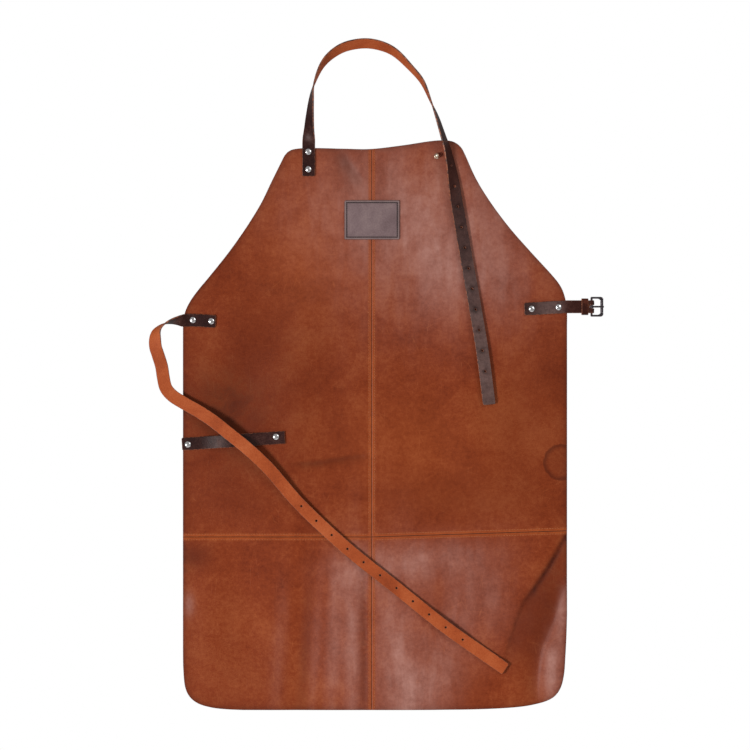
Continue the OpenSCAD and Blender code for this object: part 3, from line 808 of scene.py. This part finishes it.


# ---------------- building the pieces

# Tone patches: x, z, half width, half height, lean, and amounts of painted sheen, deep colour and warm
# colour. The sheen patches are painted reflections of the lamps; the deep amounts are partly darker leather
# and partly painted shade in the folds and beside the straps.
TONES = [
    # Painted reflection of the lamps on the bib's right half.
    (80, 755, 140, 125, 20, 0.58, 0, 0),
    (150, 680, 90, 60, 30, 0.25, 0, 0),
    (-70, 800, 110, 70, 0, 0.14, 0, 0.15),
    (-100, 690, 70, 70, 0, 0, 0, 0.3),
    # Painted shadow beside the waist strap where it crosses the tool loop.
    (-240, 470, 60, 60, 40, 0, 0.6, 0),
    (-170, 560, 130, 130, 20, 0, 0.25, 0),
    (-230, 350, 90, 70, 0, 0, 0.2, 0),
    (60, 420, 110, 70, 0, 0, 0.1, 0.25),
    (235, 470, 70, 130, 0, 0, 0.25, 0.1),
    (130, 330, 130, 45, 0, 0, 0.25, 0.1),
    (-64, 105, 13, 120, 2, 0.34, 0, 0),
    (-36, 110, 12, 130, 1, 0.5, 0, 0),
    (-92, 100, 7, 110, 4, 0.2, 0, 0),
    (-34, 215, 26, 40, 20, 0.4, 0, 0),
    (-150, 90, 12, 110, 4, 0.12, 0, 0),
    (-108, 110, 10, 120, 3, 0, 0.35, 0),
    (32, 110, 34, 120, 0, 0.5, 0, 0),
    (60, 232, 90, 28, -6, 0.45, 0, 0),
    (90, 60, 40, 50, 10, 0.25, 0, 0),
    (60, 20, 46, 60, 30, 0.4, 0, 0),
    (20, 60, 16, 70, 0, 0, 0.12, 0),
    (140, 60, 36, 44, 30, 0, 0.15, 0.1),
    (150, 170, 60, 80, 20, 0.3, 0, 0),
    (258, 150, 20, 70, 24, 0, 0.25, 0),
    (292, 150, 8, 34, 6, 0.5, 0.1, 0),
    (276, 66, 15, 44, 6, 0.8, 0, 0),
    (-280, 240, 26, 22, 0, 0, 0.5, 0),
    (-290, 165, 7, 16, 0, 0.4, 0.2, 0),
    (-200, 40, 110, 50, 0, 0, 0.12, 0),
    (-170, 430, 120, 110, 0, 0, 0.14, 0),
    (-250, 130, 60, 90, 0, 0, 0.12, 0),
]


def tone_of(x, z):
    """Painted sheen, deep colour, partly painted shade, and warm colour at each place of the face."""
    amounts = np.zeros((len(x), 3))
    for *oval, painted_sheen, deep, warm in TONES:
        amounts += oval_share(x, z, *oval)[:, None] * np.array([painted_sheen, deep, warm])
    gap = seam_distance(x, z)
    seam = np.exp(-(gap / 5.2) ** 4)
    amounts[:, 2] += 0.55 * seam
    amounts[:, 0] *= 1 - 0.7 * seam
    amounts[:, 1] *= 1 - 0.5 * seam
    amounts[:, 1] += 0.3 * np.exp(-(gap / 0.8) ** 2)
    # Painted shade in the creases.
    for line, _, left, right, deep in CREASES:
        amounts[:, 1] += deep * crease_share(x, z, line, left, right)
    rim = clearance(columns(x, z), [dense(OUTLINE, 5)])
    amounts[:, 1] += 0.5 * np.exp(-(rim / 3.5) ** 2) + 0.15 * np.exp(-(rim / 16) ** 2)
    return np.clip(amounts, 0, 1)


def paint_tones(obj, tones=tone_of):
    """Give each vertex the three amounts of tones(x, z), which the grain looks read."""
    mesh = obj.data
    co = np.empty(len(mesh.vertices) * 3)
    mesh.vertices.foreach_get("co", co)
    x, _, z = co.reshape(-1, 3).T / MM
    colours = np.hstack([tones(x, z), np.ones((len(x), 1))])
    layer = mesh.attributes.new("tone", "FLOAT_COLOR", "POINT")
    layer.data.foreach_set("color", colours.astype(np.float32).ravel())


def hand_over(obj, nodes, body=None):
    """Let a piece replace its CAD nodes, which are hidden, and ride on its body when one is given."""
    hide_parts(*nodes)
    if body:
        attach(obj, body)


PANELS = {"upper_left_panel": (-1, 1), "upper_right_panel": (1, 1),
          "lower_left_panel": (-1, -1), "lower_right_panel": (1, -1)}
for node, (side, up) in PANELS.items():
    sheet = leather_piece(node + "_sheet", [dense(quarter_outline(side, up), 4)], on_apron, HIDE_T,
                          [APRON_GRAIN, APRON_FLESH, APRON_EDGE], 6.5, fine_rows(side, up), 0.45)
    allowance = leather_piece(node + "_allowance", [dense(allowance_outline(side, up), 3.2)], behind_apron,
                              ALLOWANCE_T, [APRON_FLESH, APRON_GRAIN, APRON_EDGE], 4)
    for obj in (sheet, allowance):
        paint_tones(obj)
        hand_over(obj, [node], "apron")


def stitches(name, places, along, out_y, length, thick, material, node):
    """One short bent thread at each place, its ends sunk in the leather."""
    sides = 6
    out = np.array([0.0, out_y, 0.0])
    t = np.array([-1, -0.72, -0.3, 0.3, 0.72, 1])
    radius = thick / 2 * np.array([0.5, 0.9, 1, 1, 0.9, 0.5])
    lift = thick * (0.5 - 0.8 * t**4)
    side = np.cross(along, out)
    rings, ring_uv = [], []
    for share, r, height in zip(t, radius, lift):
        for a in np.linspace(0, 2 * math.pi, sides, endpoint=False):
            rings.append(places + along * (share * length / 2) + out * (height + r * math.cos(a))
                         + side * (r * math.sin(a)))
            ring_uv.append((share * length / 2, a * thick / 2))
    per = len(rings)
    block = []
    for first in range(0, per - sides, sides):
        for k in range(sides):
            a, b = first + k, first + (k + 1) % sides
            block.append((a, a + sides, b + sides, b))
    block += [tuple(range(sides)), tuple(range(per - 1, per - 1 - sides, -1))]
    faces = [tuple(i + n * per for i in face) for n in range(len(places)) for face in block]
    uv = np.tile(ring_uv, (len(places), 1)) + np.repeat(np.arange(len(places)), per)[:, None] * length
    obj = new_object(name, np.stack(rings, axis=1).reshape(-1, 3), faces, [material], uv=uv)
    hand_over(obj, [node], "apron")


def seam_stitches(name, rows, surface, out_y, node):
    """Straight rows of stitches, each from a start to an end, on the surface at y."""
    places, along = [], []
    for a, b in np.array(rows, float):
        run = np.linalg.norm(b - a)
        count = int(run // SEAM_PITCH)
        share = (np.arange(count) + 0.5)[:, None] / count
        places.append(a + (b - a) * share)
        along.append(np.tile((b - a) / run, (count, 1)))
    (x, z), (dx, dz) = np.vstack(places).T, np.vstack(along).T
    slope = (surface(x + dx, z + dz) - surface(x - dx, z - dz)) / 2
    stitches(name, columns(x, surface(x, z), z), unit(columns(dx, slope, dz)), out_y, SEAM_STITCH_L,
             SEAM_THREAD_T, SEAM_THREAD, node)


def face_y(x, z):
    return wave(x, z) - HIDE_T + sink(x, z)


def back_y(x, z):
    return wave(x, z) + 0.1 + ALLOWANCE_T


def centre_rows(trim):
    """Two rows up the centre seam, broken at the cross seam, their outer ends trimmed by trim."""
    spans = [(SEAM_END + trim, CROSS_SEAM_H - SEAM_BREAK),
             (CROSS_SEAM_H + SEAM_BREAK, BIB_H - SEAM_TOP_END - trim)]
    return [[(CENTRE_SEAM_X + side, z) for z in span]
            for span in spans for side in (-TOPSTITCH_GAP, TOPSTITCH_GAP)]


def cross_rows(trim):
    """Two rows along the cross seam, broken at the centre seam."""
    end = BODY_W / 2 - SEAM_END - trim
    spans = [(-end, CENTRE_SEAM_X - SEAM_BREAK), (CENTRE_SEAM_X + SEAM_BREAK, end)]
    return [[(x, seam_z(x) + up) for x in span]
            for up in (-TOPSTITCH_GAP, TOPSTITCH_GAP) for span in spans]


for part, surface, out_y, trim in (("front", face_y, -1, 0), ("back", back_y, 1, ALLOWANCE_TRIM)):
    seam_stitches("centre_seam_" + part, centre_rows(trim), surface, out_y, "centre_seam_thread")
    seam_stitches("cross_seam_" + part, cross_rows(trim), surface, out_y, "cross_seam_thread")


def on_label(uv, h):
    """The patch lies on the hanging leather and is a little raised over the centre seam."""
    x, z = uv.T
    raised = 0.25 * np.exp(-((x - CENTRE_SEAM_X) / 6) ** 2)
    return columns(x, wave(x, z) + LABEL_Y - h - raised, z)


def label_frame(inset):
    """The label's rounded outline moved in by inset."""
    r = max(0.4, 2 - inset)
    half_w, half_h = LABEL_W / 2 - inset - r, LABEL_H / 2 - inset - r
    return np.vstack([arc(LABEL[0] + x * half_w, LABEL[1] + z * half_h, r, start, start + 91, 22.5)
                      for x, z, start in ((1, -1, -90), (1, 1, 0), (-1, 1, 90), (-1, -1, 180))])


def label_tone(x, z):
    """Dark along the stitch line, and a painted highlight, paler and warmer, on the rim outside it."""
    rim = np.minimum(LABEL_W / 2 - np.abs(x - LABEL[0]), LABEL_H / 2 - np.abs(z - LABEL[1]))
    deep = 0.95 * np.exp(-((rim - LABEL_INSET) / 0.9) ** 2) + 0.5 * np.exp(-(rim / 0.6) ** 2)
    # Painted highlight on the rim outside the stitches.
    painted_sheen = 0.35 * soft_step((LABEL_INSET - 0.6 - rim) / 0.8)
    return columns(painted_sheen, deep, np.zeros(len(x)))


label_rows = np.vstack([dense(label_frame(LABEL_INSET + d), 1.8) for d in (-1.6, -0.8, 0, 0.8, 1.6)])
label = leather_piece("label_leather_patch", [dense(label_frame(0), 2.5)],
                      on_label, LABEL_T, [LABEL_GRAIN, APRON_FLESH, LABEL_EDGE], 4, label_rows, 0.4)
paint_tones(label, label_tone)
hand_over(label, ["label_patch"], "apron")


def label_stitches():
    """One row of stitches round the patch."""
    ring = dense(label_frame(LABEL_INSET), 0.5)
    ring = np.vstack([ring, ring[:1]])
    walk = walked(ring)
    spots = np.arange(0, walk[-1] - LABEL_PITCH / 2, walk[-1] / round(walk[-1] / LABEL_PITCH))
    at, ahead = [read_off(s, walk, ring) for s in (spots, (spots + 0.4) % walk[-1])]
    run = unit(ahead - at)
    along = columns(run[:, 0], np.zeros(len(at)), run[:, 1])
    stitches("label_stitches", on_label(at, LABEL_T / 2), along, -1, LABEL_STITCH_L, LABEL_THREAD_T,
             LABEL_THREAD, "label_thread")


label_stitches()


def strap_piece(name, ribbon, loops, nodes, step=4, looks=STRAP_LOOKS, thickness=STRAP_T):
    """A strap along its ribbon, which its caller bakes in place or lets ride on a body."""
    obj = leather_piece(name, loops, ribbon.place, thickness, looks, step)
    hand_over(obj, nodes)
    return obj


neck = rolled_ribbon([(x, y, BIB_H + z, roll) for x, y, z, roll in NECK_PATH])
neck_split = neck.nearest((109, -12.3, BIB_H + 9))
neck_tail_start = neck.nearest((112.6, -12.5, BIB_H - 2))
neck_holes = [neck_tail_start + NECK_FIRST_PUNCH + NECK_PUNCH_PITCH * k for k in range(PUNCHES)]
neck_strap = strap_piece("neck_strap_leather", neck, strap_loops(0, neck_split, corner=2),
                         ["neck_strap_anchor", "neck_strap_loop"])
neck_end = strap_piece("neck_strap_end_leather", neck,
                       strap_loops(neck_split, neck.length, tip_l=3, punches=neck_holes),
                       ["neck_strap_tail"])


def tail_tone(x, z):
    """A painted sheen that grows towards the tip, and painted shade round the holes."""
    holes = neck.place(np.array([(s, 0.0) for s in neck_holes]), 0)[:, [0, 2]]
    gap = clearance(columns(x, z), [holes])
    # Painted shade round the punched holes.
    deep = 0.95 * np.exp(-(gap / (PUNCH_R + 1)) ** 4)
    # Painted sheen towards the tip.
    painted_sheen = 0.33 * soft_step((BIB_H - 60 - z) / 230) * (1 - deep)
    warm = 0.3 * soft_step((z - BIB_H + 130) / 90)
    return columns(painted_sheen, deep, warm)


paint_tones(neck_end, tail_tone)
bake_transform(neck_strap)
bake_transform(neck_end)

waist = rolled_ribbon(WAIST_PATH)
waist_start = waist.nearest((-341.5, -13.2, 566))
waist_holes = [waist_start + WAIST_FIRST_PUNCH + WAIST_PUNCH_PITCH * k for k in range(PUNCHES)]
waist_strap = strap_piece("waist_strap_leather", waist,
                          strap_loops(0, waist.length, tip_l=3, corner=2, punches=waist_holes),
                          ["waist_strap_anchor", "waist_strap"])
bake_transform(waist_strap)


def tool_loop_ribbon():
    share = np.linspace(0, 1, 81)
    slack = np.clip((share - 0.17) / 0.66, 0, 1)
    a, b = np.array(TOOL_LOOP_LEFT), np.array(TOOL_LOOP_RIGHT)
    line = a + (b - a) * share[:, None]
    y = STRAP_Y - TOOL_LOOP_SLACK * np.sin(math.pi * slack) ** 2
    across = np.array([a[1] - b[1], 0, b[0] - a[0]])
    return Ribbon(columns(line[:, 0], y, line[:, 1]), across / np.linalg.norm(across))


loop_ribbon = tool_loop_ribbon()
tool_loop = strap_piece("tool_loop_leather", loop_ribbon, strap_loops(0, loop_ribbon.length, corner=1.5),
                        ["tool_loop"])
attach(tool_loop, "apron")


def buckle_ribbon():
    """In front of the apron, out to the bar, round it, and back behind the apron."""
    behind_y = 1.32
    front = [(x, STRAP_Y) for x in (233, 250, 268, 286, 300)] + [(314, -3.26), (324, -3.26), (332, -3.5)]
    turn = arc(BAR_X, BAR_Y, FOLD_R, -105, 106, 21)
    back = [(332, -0.45), (324, -0.69), (315, -0.69), (308, 0.1), (302, 1.2)]
    back += [(x, behind_y) for x in (296, 286, 277, 268)]
    points = curve(np.vstack([front, turn, back]), 8)
    rivet_x, rivet_z = RIVETS["buckle"][0]
    z = np.minimum(rivet_z + BUCKLE_STRAP_SLOPE * (points[:, 0] - rivet_x), BUCKLE_Z)
    return Ribbon(columns(points[:, 0], points[:, 1], z), np.array([0, 0, 1]))


buckle = buckle_ribbon()
fold_s = buckle.nearest((BAR_X + FOLD_R, BAR_Y, BUCKLE_Z))
buckle_strap = strap_piece("buckle_strap_leather", buckle,
                           strap_loops(0, buckle.length, corner=2, slot=(fold_s, *PRONG_SLOT)),
                           ["buckle_strap_anchor", "buckle_strap_end"], 3)


def buckle_strap_tone(x, z):
    """A painted sheen between the rivets and deep colour beyond the apron's edge."""
    # Painted sheen between the rivets.
    sheen = 0.36 * np.exp(-((x - 268) / 24) ** 2)
    beyond = soft_step((x - 292) / 14)
    return columns(sheen * (1 - beyond), 0.3 * beyond, 0.25 * beyond)


paint_tones(buckle_strap, buckle_strap_tone)
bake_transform(buckle_strap)


def keeper_ribbon():
    """Once round the doubled strap, its ends meeting behind."""
    half_y, half_z, r, cut = 3.75, 12, 1.8, 0.6
    quarter = [(half_y, half_z - r), (half_y - cut, half_z - cut), (half_y - r, half_z)]
    side = [(half_y, 0)] + [(y, -z) for y, z in quarter]
    side += [(-y, z) for y, z in side[:0:-1]]
    points = curve(side + [(-y, -z) for y, z in side] + [(half_y, 0)], 6)
    low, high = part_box("buckle_keeper")
    x = (low.x + high.x) / 2 / MM
    centre = columns(np.full(len(points), x), BAR_Y + points[:, 0], BUCKLE_Z + points[:, 1])
    return Ribbon(centre, np.array([-1, 0, 0]))


ring_ribbon = keeper_ribbon()
keeper = strap_piece("buckle_keeper_leather", ring_ribbon, strap_loops(0, ring_ribbon.length, KEEPER_W),
                     ["buckle_keeper"], 2.2, [KEEPER_GRAIN, STRAP_FLESH, KEEPER_EDGE], KEEPER_T)
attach(keeper, "buckle_keeper")


def turned(name, profile, places, y, material, body, node, sides=40, upright=False):
    """Shapes turned from (radius, height), one at each place, towards the viewer or upright."""
    vertices, faces = [], []
    for px, pz in places:
        first = len(vertices)
        for r, h in profile:
            for a in np.linspace(0, 2 * math.pi, sides, endpoint=False):
                x, turn = px + r * math.cos(a), r * math.sin(a)
                vertices.append((x, y + turn, pz + h) if upright else (x, y - h, pz + turn))
        for ring in range(len(profile) - 1):
            for k in range(sides):
                a, b = first + ring * sides + k, first + ring * sides + (k + 1) % sides
                faces.append((a, b, b + sides, a + sides))
        faces.append(tuple(range(first + sides - 1, first - 1, -1)))
        faces.append(tuple(range(len(vertices) - sides, len(vertices))))
    hand_over(new_object(name, vertices, faces, [material]), [node], body)


CAP = [(4.2, 0), (4.85, 0.06), (5.05, 0.35), (4.9, 0.75), (4.4, 1.2), (3.6, 1.65), (2.6, 2.0), (1.5, 2.2),
       (0.5, 2.27)]
FOOT = [(4.1, -1.25), (4.5, -1.05), (4.6, -0.6), (4.55, -0.1), (4.2, 0)]
for group, places in RIVETS.items():
    turned(group + "_rivet_domes", CAP, places, STRAP_Y - STRAP_T / 2 + 0.05, STEEL, "apron",
           group + "_rivet_caps")
    for k, place in enumerate(places):
        back = STRAP_T + 0.05 if place == RIVETS["buckle"][1] else 0
        turned(f"{group}_rivet_foot_{k + 1}", FOOT, [place], back - 0.02, STEEL, "apron",
               group + "_rivet_posts")

BALL = [(3.4, 0), (4.4, 0.05), (4.65, 0.4), (4.3, 0.9), (2.4, 1.15), (2.0, 1.6), (2.05, 2.2), (2.9, 2.9),
        (3.6, 3.8), (3.95, 4.8), (4.0, 5.8), (3.75, 6.9), (3.2, 7.9), (2.3, 8.8), (1.2, 9.35), (0.4, 9.5)]
turned("strap_stud_ball", BALL, [STUD], -HIDE_T + 0.05, BRASS, "apron", "strap_stud")


def arm_outline():
    """The buckle's upper arm in x and height over the buckle's middle."""
    half, r, inner = BUCKLE_H / 2, FRAME_CORNER_R, BUCKLE_H / 2 - ARM_H
    left, right = BAR_X - 1.5, OUTER_BAR_X + 2.4
    hollow = curve([(OUTER_BAR_X - 6.4, inner), (OUTER_BAR_X - 3.7, inner - 0.9),
                    (OUTER_BAR_X - 2.5, ROLLER_ROOM)], 3)
    corner = arc(right - r, half - r, r, 0, 91, 10)
    end = [(left + 1.2, half), (left + 0.35, half - 0.35), (left, half - 1.2)]
    return np.vstack([[(left, inner)], hollow, [(right, ROLLER_ROOM)], corner, end])


def on_arm(uv, h):
    return columns(uv[:, 0], np.full(len(uv), BAR_Y - h), BUCKLE_Z + uv[:, 1])


upper_arm = arm_outline()
for name, loop in (("upper", upper_arm), ("lower", (upper_arm * (1, -1))[::-1])):
    arm = leather_piece("buckle_" + name + "_arm", [dense(loop, 1.3)], on_arm, ARM_T, [GUNMETAL] * 3, 1.6)
    hand_over(arm, ["buckle_frame"], "buckle_frame")
for name, x, r, half in (("strap", BAR_X, BAR_R, BUCKLE_H / 2 - 1.4),
                         ("roller", OUTER_BAR_X, OUTER_BAR_R, ROLLER_ROOM + 1.2)):
    rod = [(r - 0.3, -half), (r, 0.3 - half), (r, half - 0.3), (r - 0.3, half)]
    turned("buckle_" + name + "_bar", rod, [(x, BUCKLE_Z)], BAR_Y, GUNMETAL, "buckle_frame", "buckle_frame",
           32, upright=True)

for node, material, slot in (("stud_screw", BRASS, "stud_brass"),
                             ("buckle_prong", GUNMETAL, "buckle_metal"),
                             ("buckle_roller", GUNMETAL, "buckle_metal")):
    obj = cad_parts[node]
    obj.data.materials.clear()
    obj.data.materials.append(material)
    soft = obj.modifiers.new("soft edges", "BEVEL")
    soft.width = 0.35 * MM
    soft.segments = 2
    soft.angle_limit = math.radians(35)


# ---------------- studio, in metres

FLOOR_Z = -0.25
ROOM_LIGHT = 0.26
GLOSSY_MORE = 0.1
CAMERA_MORE = 0.74
CAMERA_DISTANCE = 4.0
CAMERA_Z = 0.5234
SEEN_WIDTH = 1.1719
SENSOR_W = 36


def floor_look():
    """Pale floor that fades out before its edge."""
    look = Look("pale_floor")
    place = look.add("ShaderNodeTexCoord", {}).outputs["Object"]
    away = look.add("ShaderNodeVectorMath", {0: place}, operation="LENGTH").outputs["Value"]
    look.set(Base_Color=(243, 243, 243), Roughness=0.9, Specular_IOR_Level=0.1,
             Emission_Color=(255, 255, 255), Emission_Strength=0.22,
             Alpha=look.range(away, 0.75, 1.2, 1.0, 0.0))
    return look.material


floor = new_object("floor", [(-1200, -1200, 0), (1200, -1200, 0), (1200, 1200, 0), (-1200, 1200, 0)],
                   [(0, 1, 2, 3)], [floor_look()])
floor.location.z = FLOOR_Z


def soft_light(name, place, aim, size, watts):
    data = bpy.data.lights.new(name, "AREA")
    data.shape = "RECTANGLE"
    data.size = data.size_y = size
    data.energy = watts
    light = in_scene(name, data)
    light.location = place
    light.rotation_mode = "QUATERNION"
    light.rotation_quaternion = (Vector(aim) - Vector(place)).to_track_quat("-Z", "Y")
    return light


def white_room():
    """A faint even light whose walls look brighter in reflections and white to the camera."""
    world = bpy.data.worlds.new("studio")
    world.use_nodes = True
    room = Nodes(world.node_tree)
    rays = room.add("ShaderNodeLightPath", {}).outputs
    walls = room.tree.nodes["Background"].inputs
    room.put(walls["Color"], (255, 255, 255))
    room.put(walls["Strength"], room.sum((rays["Is Camera Ray"], CAMERA_MORE),
                                         (rays["Is Glossy Ray"], GLOSSY_MORE), (ROOM_LIGHT, 1.0)))
    return world


def front_camera():
    data = bpy.data.cameras.new("camera")
    data.sensor_width = SENSOR_W
    data.lens = SENSOR_W * CAMERA_DISTANCE / SEEN_WIDTH
    camera = in_scene("camera", data)
    camera.location = (0, -CAMERA_DISTANCE, CAMERA_Z)
    camera.rotation_euler = (math.radians(90), 0, 0)
    return camera


soft_light("key", (-2.5, -2.9, -0.1), (0, 0, 0.5), 0.9, 122)
soft_light("fill", (2.2, -2.6, 2.0), (0, 0, 0.6), 1.6, 34)
soft_light("back", (1.2, 2.6, 1.8), (0, 0, 0.5), 2.0, 60).visible_glossy = False
bpy.context.scene.world = white_room()
bpy.context.scene.camera = front_camera()
bpy.context.scene.view_settings.view_transform = "Standard"
